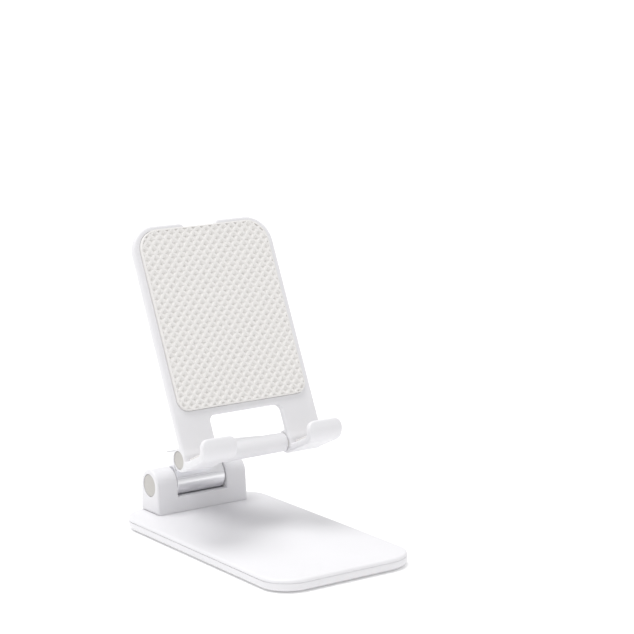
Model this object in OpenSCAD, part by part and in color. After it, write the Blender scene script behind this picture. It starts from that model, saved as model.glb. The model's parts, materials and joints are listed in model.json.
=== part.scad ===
// Folding desk stand for a phone: a weighted base, a short telescopic arm and a cradle.
// Origin at the middle of the footprint, on the desk. +X is the stand's right as seen
// from the front, +Y points to the rear, +Z points up. All sizes are in millimetres.

/* [Base] */
// Width of the base, side to side
base_w = 70; // [62:1:90]
// Length of the base, front to rear
base_l = 128; // [110:1:160]
// Height of the base's sides, tray and cover together
base_h = 5.2; // [4.8:0.1:8]
// Radius of the base's corners in plan
base_r = 13.4; // [8:0.2:18]
// Thickness of the cover plate
cover_t = 1.4; // [1.2:0.1:2]
// Thickness of the tray's floor
floor_t = 1.2; // [1:0.1:2]
// Thickness of the tray's side wall
wall_t = 1.6; // [1.2:0.1:2.4]
// Height of the parting groove under the cover's edge
groove_h = 0.3; // [0.2:0.05:0.6]
// Depth of the parting groove
groove_d = 0.4; // [0.2:0.05:0.8]
// Thickness of the cover's locating lip
lip_t = 1; // [0.8:0.1:1.4]
// Height of the cover's locating lip
lip_h = 1.2; // [0.8:0.1:1.4]

/* [Foot pad and weight] */
// Thickness of the silicone foot pad
foot_t = 1; // [0.8:0.1:1.4]
// How far the foot pad stands below the tray
foot_proud = 0.5; // [0.3:0.05:0.6]
// Margin between the base's edge and the foot pad
foot_inset = 4; // [3:0.5:8]
// Thickness of the steel weight
weight_t = 1.8; // [1.2:0.1:2]
// Free space round the weight
weight_gap = 0.6; // [0.4:0.1:2]

/* [Hinge block] */
// Width of the hinge block, side to side
block_w = 46.1; // [42:0.1:54]
// Length of the block where it stands on the cover
block_foot_l = 15.3; // [14.4:0.1:18]
// Radius of the block's rounded top
arch_r = 7; // [6.8:0.1:8]
// Height of the lower hinge axis above the cover
pivot_h = 12.2; // [11:0.1:16]
// Distance from the base's rear edge to the lower hinge axis
pivot_inset = 8; // [8:0.1:12]
// Height of the slot's floor above the cover
slot_floor_h = 6.9; // [5:0.1:8]

/* [Lower hinge] */
// Radius of the barrel on the stem
barrel_r = 6.4; // [6:0.1:6.8]
// Radius of the lower shaft
shaft_r = 2.5; // [2:0.1:2.8]
// Radius of the lower shaft's threaded end
stud_r = 2; // [1.5:0.1:2.4]
// Radius of the lower shaft's head
shaft_head_r = 4.2; // [3.6:0.1:4.6]
// Thickness of the lower shaft's head
shaft_head_t = 1.6; // [1.2:0.1:2]
// Wall of the two stem bushes
bush_wall = 1; // [0.8:0.1:1.4]
// Length of each stem bush
bush_l = 6; // [4:0.5:8]
// Radius of the lower end caps
cap_r = 5; // [4.6:0.1:5.4]
// Thickness of the lower end caps
cap_t = 1.5; // [1:0.1:2]
// Thickness of the lower nut
nut_t = 2.4; // [2:0.1:3]
// Half of the lower nut's width across its corners
nut_r = 4.04; // [3.6:0.02:4.4]

/* [Arm] */
// Angle above the desk of the line from the lower hinge to the upper one
arm_angle = 26.4; // [20:0.2:40]
// Distance between the two hinge axes as the arm is set
arm_reach = 50.9; // [50.2:0.1:54]
// Gap between the block's round top and the sleeve that passes over it
over_gap = 0.6; // [0.4:0.1:1]
// Length of the web that joins the stem's barrel to its blade
web_l = 5; // [4:0.1:5.6]
// Travel of the sleeve towards the base
travel_in = 13.4; // [8:0.1:13.4]
// Travel of the sleeve away from the base
travel_out = 4; // [2:0.1:6]
// Width of the metal stem
stem_w = 24.8; // [21:0.1:26.4]
// Thickness of the metal stem
stem_t = 4.4; // [3.6:0.1:4.8]
// Length of the sleeve from its mouth to the upper hinge axis
sleeve_l = 29.9; // [28:0.1:30.4]
// Wall of the sleeve above and below the stem
sleeve_wall = 1; // [0.8:0.1:1.4]
// Wall of the sleeve at the stem's edges
sleeve_side_wall = 1.8; // [1.4:0.1:2.4]
// Thickness of the glide's wall above and below the stem
glide_t = 0.5; // [0.4:0.05:0.8]
// Thickness of the glide's wall at the stem's edges
glide_side_t = 0.7; // [0.5:0.05:1]
// Length of the glide in the sleeve's mouth
glide_l = 5.5; // [4:0.1:7]
// Radius of the head barrel on the sleeve
head_r = 4.1; // [3.8:0.1:4.6]

/* [Cradle] */
// Lean of the cradle back from upright
cradle_tilt = 24.4; // [10:0.2:40]
// Width of the cradle
cradle_w = 70; // [62:1:90]
// Height of the cradle above the upper hinge axis
cradle_h = 100.2; // [85:0.2:130]
// Thickness of the cradle's plate
plate_t = 3.06; // [2.6:0.02:3.6]
// Distance from the upper hinge axis to the plate's front face
plate_front = 5; // [4.8:0.1:6]
// Radius of the cradle's top corners
plate_r = 12; // [6:0.5:18]
// Width of the shallow notch in the top edge
notch_w = 18; // [12:0.5:30]
// Depth of the notch
notch_d = 1.9; // [1:0.1:2.4]
// Height of the window for the arm at the plate's foot
window_h = 16; // [14:0.5:22]
// Radius of the window's corners
window_r = 3; // [1:0.5:5]
// Radius of the cradle's hinge lugs
lug_r = 5; // [4.8:0.1:6]
// Width of each hook
hook_w = 17; // [12:0.5:20]
// Distance from the upper hinge axis to the front of the hooks
hook_reach = 21.6; // [18:0.2:28]
// Thickness of the hooks
hook_t = 3; // [2.4:0.1:4]
// Outer radius of the hooks' bend
hook_bend_r = 6; // [4:0.2:8]
// Height of the hooks' tips above the upper hinge axis
hook_tip_h = 4.1; // [3:0.1:12]
// Radius of the tips' corners
hook_corner_r = 4; // [2:0.2:6]

/* [Pads] */
// Rim of the plate beside the back pad
pad_rim = 3; // [2:0.1:6]
// Rim of the plate above the back pad
pad_top_rim = 2; // [1.9:0.1:6]
// Gap between the window and the back pad
pad_foot_rim = 3; // [2:0.5:8]
// Depth of the recess that holds the back pad
pad_recess = 1; // [0.6:0.1:1.4]
// How far the back pad stands proud of the plate
pad_proud = 1.3; // [0.8:0.1:2]
// Thickness of the silicone strips in the hooks
strip_t = 0.8; // [0.5:0.1:1.2]
// Margin between the edges of a hook and its strip
strip_inset = 1.5; // [1:0.1:3]

/* [Upper hinge] */
// Radius of the upper shaft
pin_r = 1.75; // [1.5:0.05:2]
// Radius of the upper shaft's threaded end
pin_stud_r = 1.4; // [1.2:0.05:1.6]
// Radius of the upper shaft's head
pin_head_r = 2.9; // [2.6:0.1:3.2]
// Thickness of the upper shaft's head
pin_head_t = 1.4; // [1:0.1:2]
// Wall of the two head bushes
head_bush_wall = 0.8; // [0.6:0.1:1.2]
// Length of each head bush
head_bush_l = 6; // [4:0.5:8]
// Radius of the upper end caps
small_cap_r = 3.9; // [3.6:0.1:4.1]
// Thickness of the upper end caps
small_cap_t = 1.2; // [0.8:0.1:1.6]
// Thickness of the upper nut
small_nut_t = 2; // [1.6:0.1:2.6]
// Half of the upper nut's width across its corners
small_nut_r = 3.18; // [2.8:0.02:3.2]

/* [Fasteners and springs] */
// Radius of the screws that hold the hinge block
block_screw_r = 1; // [0.8:0.1:1.2]
// Depth that the block screws reach into the block
block_screw_l = 4.6; // [4:0.1:6]
// Radius of the screws that hold the tray
tray_screw_r = 0.9; // [0.7:0.1:1]
// Thickness of one disc spring
disc_t = 0.5; // [0.4:0.05:0.6]
// Number of disc springs on each hinge
disc_count = 3; // [2:1:4]
// Thickness of the friction washers beside the two barrels
friction_washer_t = 0.25; // [0.2:0.05:0.3]
// Thickness of the leaf spring that brakes the sleeve
leaf_t = 0.2; // [0.15:0.05:0.3]

/* [Fits] */
// Gap between pieces that are seated in each other
seat_gap = 0.02; // [0.01:0.01:0.05]
// Radial clearance between a shaft and the bush that turns on it
run_gap = 0.05; // [0.02:0.01:0.1]
// Gap at each side of the barrels, where the friction washers sit
side_gap = 0.3; // [0.3:0.05:0.5]
// Gap between the stem and the glide
glide_gap = 0.1; // [0.06:0.02:0.2]
// Gap between casings, lips and recesses
case_gap = 0.15; // [0.1:0.05:0.3]
// Free space between parts that swing past each other
swing_gap = 0.4; // [0.3:0.05:0.8]
// Free space behind the end caps
cap_room = 0.3; // [0.2:0.05:0.6]
// Depth of the end caps below the lugs' ends
cap_sink = 0.2; // [0:0.05:0.4]

/* [Hidden] */
$fn = 96;
eps = 0.01;

// Heights, from the desk up
tray_z = foot_proud;
foot_recess = foot_t - foot_proud;
floor_z = tray_z + foot_recess + floor_t;
base_top = tray_z + base_h;
cover_z = base_top - cover_t;
inside_h = cover_z - floor_z;

// Inside of the base
inner_w = base_w - 2 * wall_t;
inner_l = base_l - 2 * wall_t;
inner_r = base_r - wall_t;
lip_w = inner_w - 2 * case_gap;
lip_l = inner_l - 2 * case_gap;
lip_r = inner_r - case_gap;
boss_r = tray_screw_r + 1.5;
boss_x = base_w / 2 - wall_t - lip_t - boss_r - 2;
boss_y = base_l / 2 - wall_t - lip_t - boss_r - 5;
boss_points = [for (sx = [-1, 1], sy = [-1, 1]) [sx * boss_x, sy * boss_y]];
tray_screw_head_r = 1.8;
tray_screw_head_t = 0.7;
cover_skin = 0.7;

// Lower hinge
pivot_y = base_l / 2 - pivot_inset;
pivot_z = base_top + pivot_h;
lug_x = block_w / 2;
barrel_x = stem_w / 2;
slot_x = barrel_x + side_gap;
washer_stack = disc_count * (disc_t + seat_gap);
left_bore_x = lug_x - cap_sink - cap_t - cap_room - shaft_head_t;
right_bore_x = lug_x - cap_sink - cap_t - cap_room - nut_t - washer_stack;
cap_bore_r = cap_r + seat_gap;
bush_r = shaft_r + run_gap + bush_wall;
block_screw_x = (slot_x + lug_x) / 2;
block_screw_head_r = 1.9;
block_screw_dy = min(block_foot_l / 2 - block_screw_r - 2,
    pivot_inset - wall_t - case_gap - lip_t - block_screw_head_r - case_gap);
block_screw_head_t = 1.2;
block_points = [for (sx = [-1, 1], sy = [-1, 1])
    [sx * block_screw_x, pivot_y + sy * block_screw_dy]];

// Weight: it fills the base in front of the block's screws
weight_w = lip_w - 2 * lip_t - 2 * weight_gap;
weight_y0 = -lip_l / 2 + lip_t + weight_gap;
weight_y1 = pivot_y - block_screw_dy - block_screw_head_r - weight_gap;
weight_r = lip_r - lip_t - weight_gap;

// Arm: its middle plane holds the upper hinge axis and passes over the lower one
sleeve_t = stem_t + 2 * (glide_gap + glide_t + sleeve_wall);
sleeve_w = stem_w + 2 * (glide_gap + glide_side_t + sleeve_side_wall);
sleeve_r = 2.4;
cavity_t = stem_t + 2 * (glide_gap + glide_t);
cavity_w = stem_w + 2 * (glide_gap + glide_side_t);
cavity_r = 0.6;
arm_rise = arch_r + over_gap + sleeve_t / 2;
slide_angle = arm_angle - asin(arm_rise / arm_reach);
head_at = sqrt(arm_reach * arm_reach - arm_rise * arm_rise);
mouth_at = head_at - sleeve_l;
cavity_end = head_at - pin_r - head_bush_wall - 0.45;
stem_l = cavity_end - travel_in - 0.2;
stem_r = 0.5;
stop_at = mouth_at + glide_l + travel_out + 0.1;
stop_head_r = 1;
stop_head_t = 0.5;
stop_screw_r = 0.6;
stop_screw_l = 1.6;

// Leaf spring: an arc that spans the glide's top window
leaf_w = 10;
leaf_l = 3.5;
leaf_room = glide_gap + glide_t - leaf_t - 2 * seat_gap;
leaf_r = (leaf_w * leaf_w / 4 + leaf_room * leaf_room) / (2 * leaf_room);

// Cradle
hook_x0 = cradle_w / 2 - hook_w;
head_x = hook_x0 - swing_gap;
head_bush_r = pin_r + run_gap + head_bush_wall;
lug_end = cradle_w / 2;
pin_bore_r = pin_r + seat_gap;
pin_left_x = lug_end - cap_sink - small_cap_t - cap_room - pin_head_t;
pin_right_x = lug_end - cap_sink - small_cap_t - cap_room - small_nut_t - washer_stack;
hardware_r = small_nut_r + 0.12;
small_bore_r = small_cap_r + seat_gap;
head_washer_t = swing_gap - 0.1;
pad_w = cradle_w - 2 * pad_rim;
pad_z0 = window_h + pad_foot_rim;
pad_z1 = cradle_h - pad_top_rim;
pad_r = plate_r - pad_rim + 0.5;
pad_foot_r = 5;
plate_back = plate_front - plate_t;

// ---- Shared shapes ----

// A rectangle with round corners, centred on the origin
module round_rect(w, l, r) {
    square([w - 2 * r, l], center = true);
    square([w, l - 2 * r], center = true);
    for (sx = [-1, 1], sy = [-1, 1])
        translate([sx * (w / 2 - r), sy * (l / 2 - r)]) circle(r);
}

module round_slab(w, l, r, z0, z1) {
    translate([0, 0, z0]) linear_extrude(z1 - z0) round_rect(w, l, r);
}

// Draws a profile of (y, z) points along X, from x0 to x1
module along_x(x0, x1) {
    translate([x0, 0, 0]) rotate([90, 0, 90]) linear_extrude(x1 - x0) children();
}

module x_cylinder(r, x0, x1) {
    translate([x0, 0, 0]) rotate([0, 90, 0]) cylinder(r = r, h = x1 - x0);
}

// A ring along X
module x_ring(r_out, r_in, x0, x1) {
    difference() {
        x_cylinder(r_out, x0, x1);
        x_cylinder(r_in, x0 - eps, x1 + eps);
    }
}

// A disc spring: a shallow cone with a hole, its outer edge towards -X
module disc_spring(r_out, r_in, x0) {
    rise = disc_t * 0.4;
    thick = disc_t - rise;
    translate([x0, 0, 0]) rotate([0, 90, 0])
        rotate_extrude()
            polygon([[r_in, rise], [r_out, 0], [r_out, thick], [r_in, disc_t]]);
}

// An end cap: a disc with a small chamfer on its outer edge. side is -1 on the left, 1 on the right
module end_cap(r, t, x_face, side) {
    chamfer = 0.3;
    rotate([0, 90 * side, 0]) translate([0, 0, x_face - t]) {
        cylinder(r = r, h = t - chamfer);
        translate([0, 0, t - chamfer]) cylinder(r1 = r, r2 = r - chamfer, h = chamfer);
    }
}

// A pan-head screw along +Z, with the underside of its head at z = 0
module screw(r, l, head_r, head_t) {
    difference() {
        union() {
            translate([0, 0, -eps]) cylinder(r = r, h = l + eps);
            translate([0, 0, -head_t]) cylinder(r = head_r, h = head_t);
        }
        translate([0, 0, -head_t - eps]) cylinder(r = head_r * 0.4, h = head_t * 0.6, $fn = 6);
    }
}

// ---- Frames of reference ----

module at_lower_hinge() { translate([0, pivot_y, pivot_z]) children(); }

// Z runs along the arm from the lower hinge, Y out of the arm's upper face
module stem_frame() { at_lower_hinge() rotate([90 - slide_angle, 0, 0]) children(); }

// The same, with its Y measured from the arm's middle plane
module arm_frame() { stem_frame() translate([0, arm_rise, 0]) children(); }

// Z runs up the cradle from the upper hinge, -Y out of its front
module cradle_frame() {
    translate([0, pivot_y - arm_reach * cos(arm_angle), pivot_z + arm_reach * sin(arm_angle)])
        rotate([-cradle_tilt, 0, 0]) children();
}

// ---- Base ----

module base_cover() color([0.95, 0.95, 0.96]) difference() {
    union() {
        round_slab(base_w, base_l, base_r, cover_z, base_top);
        difference() {
            round_slab(lip_w, lip_l, lip_r, cover_z - lip_h, cover_z + eps);
            round_slab(lip_w - 2 * lip_t, lip_l - 2 * lip_t, lip_r - lip_t,
                cover_z - lip_h - eps, cover_z);
        }
        for (p = boss_points)
            translate([p[0], p[1], floor_z + seat_gap])
                cylinder(r = boss_r, h = inside_h - seat_gap + eps);
    }
    for (p = boss_points)
        translate([p[0], p[1], floor_z - eps])
            cylinder(r = tray_screw_r + seat_gap, h = base_top - cover_skin - floor_z);
    for (p = block_points)
        translate([p[0], p[1], cover_z - eps])
            cylinder(r = block_screw_r + seat_gap, h = cover_t + 2 * eps);
}

module base_tray() color([0.93, 0.93, 0.94]) difference() {
    round_slab(base_w, base_l, base_r, tray_z, cover_z);
    round_slab(inner_w, inner_l, inner_r, floor_z, cover_z + eps);
    // Parting groove under the cover
    difference() {
        round_slab(base_w + 2, base_l + 2, base_r + 1, cover_z - groove_h, cover_z + eps);
        round_slab(base_w - 2 * groove_d, base_l - 2 * groove_d, base_r - groove_d,
            cover_z - groove_h - eps, cover_z + 2 * eps);
    }
    // Recess for the foot pad
    translate([0, 0, tray_z - eps]) linear_extrude(foot_recess + eps)
        round_rect(base_w - 2 * foot_inset + 2 * case_gap, base_l - 2 * foot_inset + 2 * case_gap,
            base_r - foot_inset + case_gap);
    for (p = boss_points) translate([p[0], p[1], tray_z]) {
        cylinder(r = tray_screw_r + seat_gap, h = base_h);
        cylinder(r = tray_screw_head_r + seat_gap, h = foot_recess + tray_screw_head_t);
    }
}

module base_weight() color([0.45, 0.46, 0.48]) difference() {
    translate([0, (weight_y0 + weight_y1) / 2, 0])
        intersection() {
            round_slab(weight_w, weight_y1 - weight_y0, weight_r / 2, floor_z, floor_z + weight_t);
            translate([0, -(weight_y1 + weight_y0) / 2, 0])
                round_slab(weight_w, lip_l - 2 * lip_t - 2 * weight_gap, weight_r,
                    floor_z - eps, floor_z + weight_t + eps);
        }
    for (p = boss_points)
        translate([p[0], p[1], floor_z - eps])
            cylinder(r = boss_r + weight_gap, h = weight_t + 2 * eps);
}

module foot_pad() color([0.82, 0.82, 0.82])
    round_slab(base_w - 2 * foot_inset, base_l - 2 * foot_inset, base_r - foot_inset, 0, foot_t);

module block_screws() color([0.6, 0.6, 0.62])
    for (p = block_points)
        translate([p[0], p[1], cover_z])
            screw(block_screw_r, cover_t + block_screw_l, block_screw_head_r, block_screw_head_t);

module tray_screws() color([0.6, 0.6, 0.62])
    for (p = boss_points)
        translate([p[0], p[1], foot_t + tray_screw_head_t])
            screw(tray_screw_r, base_top - cover_skin - foot_t - tray_screw_head_t - 0.3,
                tray_screw_head_r, tray_screw_head_t);

// ---- Hinge block and lower hinge ----

// Outline of the block about the hinge axis: a round top on sides that lean out to the foot
module block_outline() {
    half = block_foot_l / 2;
    reach = sqrt(half * half + pivot_h * pivot_h);
    lean = acos(arch_r / reach) - atan2(pivot_h, half);
    tx = arch_r * cos(lean);
    tz = arch_r * sin(lean);
    circle(arch_r);
    polygon([[-half, -pivot_h], [half, -pivot_h], [tx, tz], [-tx, tz]]);
}

module hinge_block() color([0.95, 0.95, 0.96]) difference() {
    at_lower_hinge() difference() {
        along_x(-lug_x, lug_x) block_outline();
        // Slot for the stem, with a floor scooped round its barrel
        translate([-slot_x, -block_foot_l, slot_floor_h - pivot_h])
            cube([2 * slot_x, 2 * block_foot_l, 2 * pivot_h]);
        x_cylinder(barrel_r + swing_gap, -slot_x, slot_x);
        // Shaft bore and the two counterbores
        x_cylinder(shaft_r + seat_gap, -lug_x, lug_x);
        x_cylinder(cap_bore_r, -lug_x - 1, -left_bore_x);
        x_cylinder(cap_bore_r, right_bore_x, lug_x + 1);
    }
    for (p = block_points)
        translate([p[0], p[1], base_top - eps])
            cylinder(r = block_screw_r + seat_gap, h = block_screw_l + 0.3);
}

module lower_shaft() color([0.7, 0.71, 0.73]) at_lower_hinge() {
    x_cylinder(shaft_head_r, -left_bore_x - shaft_head_t, -left_bore_x);
    x_cylinder(shaft_r, -left_bore_x - eps, right_bore_x);
    x_cylinder(stud_r, right_bore_x - eps, right_bore_x + washer_stack + nut_t + cap_room / 2);
}

module lower_friction_washers() color([0.85, 0.83, 0.75]) at_lower_hinge()
    for (side = [-1, 1]) {
        x0 = side > 0 ? slot_x - seat_gap - friction_washer_t : -slot_x + seat_gap;
        x_ring(barrel_r - 1, shaft_r + seat_gap, x0, x0 + friction_washer_t);
    }

module lower_disc_springs() color([0.5, 0.51, 0.53]) at_lower_hinge()
    for (i = [0 : disc_count - 1])
        disc_spring(shaft_head_r, stud_r + run_gap,
            right_bore_x + seat_gap / 2 + i * (disc_t + seat_gap));

module lower_nut() color([0.7, 0.71, 0.73]) at_lower_hinge()
    hex_nut(nut_r, stud_r, nut_t, right_bore_x + washer_stack);

// A hexagon nut on an axis along X
module hex_nut(r, bore, t, x0) {
    difference() {
        translate([x0, 0, 0]) rotate([0, 90, 0]) cylinder(r = r, h = t, $fn = 6);
        x_cylinder(bore + seat_gap, x0 - eps, x0 + t + eps);
    }
}

module lower_cap_left() color([0.79, 0.79, 0.77]) at_lower_hinge()
    end_cap(cap_r, cap_t, lug_x - cap_sink, -1);

module lower_cap_right() color([0.79, 0.79, 0.77]) at_lower_hinge()
    end_cap(cap_r, cap_t, lug_x - cap_sink, 1);

// ---- Stem ----

module stem() color([0.78, 0.79, 0.81]) stem_frame() difference() {
    union() {
        x_cylinder(barrel_r, -barrel_x, barrel_x);
        translate([-barrel_x, 0, 0]) cube([stem_w, arm_rise, web_l]);
        translate([0, arm_rise, 0]) linear_extrude(stem_l) round_rect(stem_w, stem_t, stem_r);
    }
    x_cylinder(shaft_r + 2 * run_gap, -barrel_x - eps, barrel_x + eps);
    for (side = [-1, 1])
        x_cylinder(bush_r, side > 0 ? barrel_x - bush_l : -barrel_x - eps,
            side > 0 ? barrel_x + eps : bush_l - barrel_x);
    for (side = [-1, 1])
        translate([side * stem_w / 4, arm_rise, stop_at + stop_head_r]) rotate([90, 0, 0])
            cylinder(r = stop_screw_r + seat_gap, h = stem_t);
}

module stem_bushes() color([0.72, 0.6, 0.4]) stem_frame()
    for (side = [-1, 1])
        x_ring(bush_r - seat_gap, shaft_r + run_gap, side > 0 ? barrel_x - bush_l : -barrel_x,
            side > 0 ? barrel_x : bush_l - barrel_x);

// Two low screws in the stem's underside, which meet the glide when the arm is fully out
module stop_screws() color([0.6, 0.6, 0.62]) arm_frame()
    for (side = [-1, 1])
        translate([side * stem_w / 4, -stem_t / 2, stop_at + stop_head_r]) rotate([-90, 0, 0])
            screw(stop_screw_r, stop_screw_l, stop_head_r, stop_head_t);

// ---- Sleeve ----

module arm_sleeve() color([0.95, 0.95, 0.96]) arm_frame() difference() {
    union() {
        translate([0, 0, mouth_at]) linear_extrude(sleeve_l) round_rect(sleeve_w, sleeve_t, sleeve_r);
        translate([0, 0, head_at]) x_cylinder(head_r, -head_x, head_x);
    }
    translate([0, 0, mouth_at - eps]) linear_extrude(cavity_end - mouth_at + eps)
        round_rect(cavity_w, cavity_t, cavity_r);
    translate([0, 0, head_at]) {
        x_cylinder(pin_r + 2 * run_gap, -head_x - eps, head_x + eps);
        for (side = [-1, 1])
            x_cylinder(head_bush_r, side > 0 ? head_x - head_bush_l : -head_x - eps,
                side > 0 ? head_x + eps : head_bush_l - head_x);
    }
}

// A short liner in the sleeve's mouth, with a window in its upper side for the leaf spring
module sleeve_glide() color([0.88, 0.88, 0.87]) arm_frame() difference() {
    translate([0, 0, mouth_at]) linear_extrude(glide_l)
        round_rect(cavity_w - 2 * seat_gap, cavity_t - 2 * seat_gap, cavity_r - seat_gap);
    translate([0, 0, mouth_at - eps]) linear_extrude(glide_l + 2 * eps)
        round_rect(stem_w + 2 * glide_gap, stem_t + 2 * glide_gap, stem_r);
    translate([-leaf_w / 2 - case_gap, 0, mouth_at + (glide_l - leaf_l) / 2 - case_gap])
        cube([leaf_w + 2 * case_gap, cavity_t, leaf_l + 2 * case_gap]);
}

module leaf_spring() color([0.6, 0.61, 0.63]) arm_frame()
    translate([0, stem_t / 2 + seat_gap, mouth_at + (glide_l - leaf_l) / 2])
        linear_extrude(leaf_l) intersection() {
            translate([0, leaf_r + leaf_t]) difference() {
                circle(leaf_r + leaf_t, $fn = 360);
                circle(leaf_r, $fn = 360);
            }
            translate([-leaf_w / 2, 0]) square([leaf_w, leaf_room + leaf_t]);
        }

module head_bushes() color([0.72, 0.6, 0.4]) arm_frame() translate([0, 0, head_at])
    for (side = [-1, 1])
        x_ring(head_bush_r - seat_gap, pin_r + run_gap,
            side > 0 ? head_x - head_bush_l : -head_x, side > 0 ? head_x : head_bush_l - head_x);

// ---- Cradle ----

// Front view of the plate: square at its foot, round at its top corners
module plate_outline() {
    half = cradle_w / 2;
    translate([-half, 0]) square([cradle_w, cradle_h - plate_r]);
    translate([-half + plate_r, 0]) square([cradle_w - 2 * plate_r, cradle_h]);
    for (side = [-1, 1])
        translate([side * (half - plate_r), cradle_h - plate_r]) circle(plate_r);
}

// The back pad's outline, grown by a margin
module pad_outline(margin) {
    half = pad_w / 2;
    for (side = [-1, 1]) {
        translate([side * (half - pad_r), pad_z1 - pad_r]) circle(pad_r + margin);
        translate([side * (half - pad_foot_r), pad_z0 + pad_foot_r]) circle(pad_foot_r + margin);
    }
    translate([-half - margin, pad_z0 + pad_foot_r])
        square([pad_w + 2 * margin, pad_z1 - pad_r - pad_z0 - pad_foot_r]);
    translate([-half + pad_foot_r, pad_z0 - margin])
        square([pad_w - 2 * pad_foot_r, pad_z1 - pad_r - pad_z0 + margin]);
    translate([-half + pad_r, pad_z0 + pad_foot_r])
        square([pad_w - 2 * pad_r, pad_z1 + margin - pad_z0 - pad_foot_r]);
}

// Draws an outline of (x, z) points as a slab from y0 to y1
module upright(y0, y1) {
    translate([0, y1, 0]) rotate([90, 0, 0]) linear_extrude(y1 - y0) children();
}

// Side view of a hook or of its strip: a floor from the lug, a bend and an upright tongue.
// Both radii are measured from the middle of the hook's bend.
module hook_profile(outer_r, inner_r, tip) {
    centre_y = -hook_reach + hook_bend_r;
    centre_z = -lug_r + hook_bend_r;
    translate([centre_y, centre_z - outer_r]) square([-centre_y, outer_r - inner_r]);
    intersection() {
        translate([centre_y, centre_z]) difference() {
            circle(outer_r);
            circle(inner_r);
        }
        translate([centre_y - outer_r, centre_z - outer_r]) square(outer_r + eps);
    }
    translate([centre_y - outer_r, centre_z]) square([outer_r - inner_r, tip - centre_z]);
}

// Front view of a hook, with round corners on its tip
module hook_front(x0, w, corner) {
    tip = hook_tip_h;
    translate([x0, -lug_r]) square([w, tip - corner + lug_r]);
    translate([x0 + corner, -lug_r]) square([w - 2 * corner, tip + lug_r]);
    for (x = [x0 + corner, x0 + w - corner]) translate([x, tip - corner]) circle(corner);
}

// One hook whose inner end is at x0
module hook(x0) {
    intersection() {
        along_x(x0, x0 + hook_w) hook_profile(hook_bend_r, hook_bend_r - hook_t, hook_tip_h);
        upright(-hook_reach - 1, 1) hook_front(x0, hook_w, hook_corner_r);
    }
}

module cradle() color([0.96, 0.96, 0.97]) cradle_frame() difference() {
    union() {
        upright(-plate_front, -plate_back) plate_outline();
        for (x0 = [-cradle_w / 2, hook_x0]) {
            hook(x0);
            x_cylinder(lug_r, x0, x0 + hook_w);
            translate([x0, -plate_front, -lug_r]) cube([hook_w, plate_front, lug_r]);
        }
    }
    // Window for the arm at the plate's foot
    upright(-plate_front - 1, 0) {
        translate([-hook_x0, -1]) square([2 * hook_x0, window_h - window_r + 1]);
        translate([-hook_x0 + window_r, -1]) square([2 * (hook_x0 - window_r), window_h + 1]);
        for (side = [-1, 1])
            translate([side * (hook_x0 - window_r), window_h - window_r]) circle(window_r);
    }
    // Recess for the back pad and the notch in the top edge
    upright(-plate_front - 1, -plate_front + pad_recess) pad_outline(case_gap);
    upright(-plate_front - 1, 1)
        polygon([[-notch_w / 2, cradle_h + 1], [-notch_w / 2, cradle_h],
            [-notch_w / 2 + notch_d, cradle_h - notch_d], [notch_w / 2 - notch_d, cradle_h - notch_d],
            [notch_w / 2, cradle_h], [notch_w / 2, cradle_h + 1]]);
    // Shaft bore, room for the head and the nut, and seats for the end caps
    x_cylinder(pin_bore_r, -lug_end, lug_end);
    x_cylinder(hardware_r, -lug_end - 1, -pin_left_x);
    x_cylinder(hardware_r, pin_right_x, lug_end + 1);
    for (side = [-1, 1])
        x_cylinder(small_bore_r, side > 0 ? lug_end - small_cap_t - cap_sink : -lug_end - 1,
            side > 0 ? lug_end + 1 : small_cap_t + cap_sink - lug_end);
}

module cradle_pad() color([0.83, 0.82, 0.8]) cradle_frame()
    upright(-plate_front - pad_proud, -plate_front + pad_recess - seat_gap) pad_outline(0);

// The silicone strip that lines a hook's floor, bend and tongue
module hook_strip(x0) {
    x1 = x0 + strip_inset;
    w = hook_w - 2 * strip_inset;
    inner = hook_bend_r - hook_t;
    cradle_frame() intersection() {
        along_x(x1, x1 + w)
            hook_profile(inner - seat_gap, inner - strip_t, hook_tip_h - strip_inset);
        upright(-hook_reach, -plate_front - pad_proud)
            hook_front(x1, w, hook_corner_r - strip_inset);
    }
}

module hook_strip_left() color([0.83, 0.82, 0.8]) hook_strip(-cradle_w / 2);

module hook_strip_right() color([0.83, 0.82, 0.8]) hook_strip(hook_x0);

// ---- Upper hinge ----

module upper_shaft() color([0.7, 0.71, 0.73]) cradle_frame() {
    x_cylinder(pin_head_r, -pin_left_x - pin_head_t, -pin_left_x);
    x_cylinder(pin_r, -pin_left_x - eps, pin_right_x);
    x_cylinder(pin_stud_r, pin_right_x - eps, pin_right_x + washer_stack + small_nut_t + cap_room / 2);
}

module upper_friction_washers() color([0.85, 0.83, 0.75]) cradle_frame()
    for (side = [-1, 1]) {
        x0 = side > 0 ? hook_x0 - seat_gap - head_washer_t : -hook_x0 + seat_gap;
        x_ring(head_r - 0.6, pin_r + seat_gap, x0, x0 + head_washer_t);
    }

module upper_disc_springs() color([0.5, 0.51, 0.53]) cradle_frame()
    for (i = [0 : disc_count - 1])
        disc_spring(pin_head_r, pin_stud_r + run_gap,
            pin_right_x + seat_gap / 2 + i * (disc_t + seat_gap));

module upper_nut() color([0.7, 0.71, 0.73]) cradle_frame()
    hex_nut(small_nut_r, pin_stud_r, small_nut_t, pin_right_x + washer_stack);

module upper_cap_left() color([0.79, 0.79, 0.77]) cradle_frame()
    end_cap(small_cap_r, small_cap_t, lug_end - cap_sink, -1);

module upper_cap_right() color([0.79, 0.79, 0.77]) cradle_frame()
    end_cap(small_cap_r, small_cap_t, lug_end - cap_sink, 1);

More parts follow.
